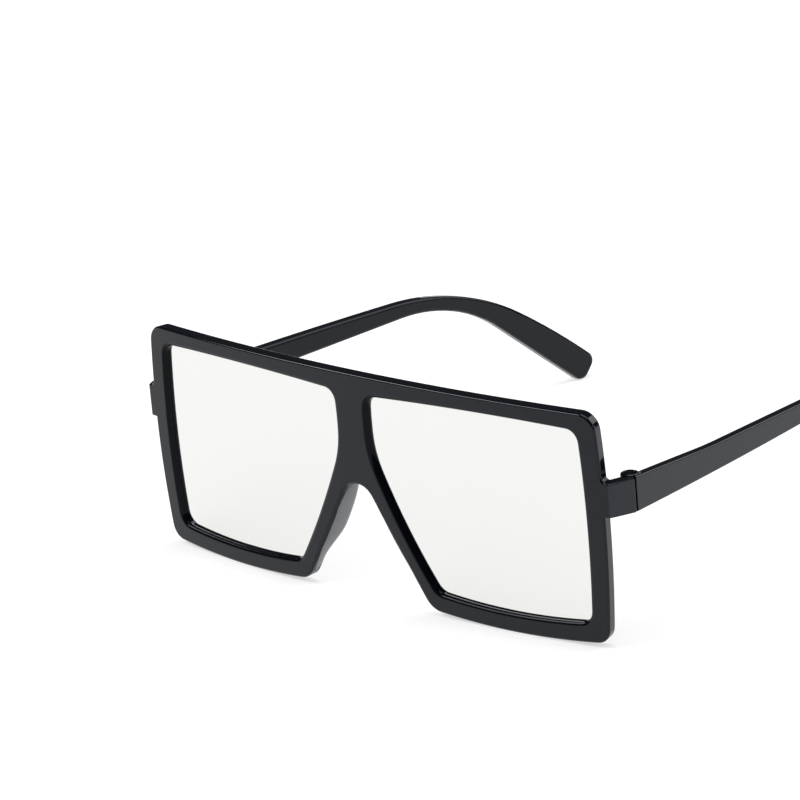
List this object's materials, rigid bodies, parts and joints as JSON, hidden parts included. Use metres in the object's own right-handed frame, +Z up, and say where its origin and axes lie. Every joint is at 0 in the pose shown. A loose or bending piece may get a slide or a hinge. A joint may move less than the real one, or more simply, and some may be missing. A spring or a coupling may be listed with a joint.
{
  "type": "oversized sunglasses",
  "caption": "Oversized flat-top sunglasses: a black moulded front with large mirrored lenses and moulded nose pads, and curved temples that fold on screwed barrel hinges.",
  "frame": {"origin": "centre of the bounding box in plan, at the surface that the rims and temple tips rest on", "axes": "+Z up, the lenses look along -Y, the temples run back along +Y, +X is the wearer's left"},
  "size_m": [0.1492, 0.152, 0.0553],
  "materials": {
    "front_plastic": "polished black",
    "temple_plastic": "polished black",
    "mirror_lens": "silver mirror coating",
    "hinge_steel": "turned"
  },
  "bodies": {
    "front": {"front_frame": "front_plastic", "left_lens": "mirror_lens", "right_lens": "mirror_lens", "left_hinge_screw": "hinge_steel", "right_hinge_screw": "hinge_steel"},
    "left_arm": {"left_temple": "temple_plastic"},
    "right_arm": {"right_temple": "temple_plastic"}
  },
  "joints": [
    {"name": "left_temple_fold", "type": "hinge", "parent": "front", "child": "left_arm", "pos_m": [0.07165, -0.06265, 0.0356], "axis": [0, 0, 1], "range_deg": [0, 86]},
    {"name": "right_temple_fold", "type": "hinge", "parent": "front", "child": "right_arm", "pos_m": [-0.07165, -0.06265, 0.0356], "axis": [0, 0, -1], "range_deg": [0, 80]}
  ]
}
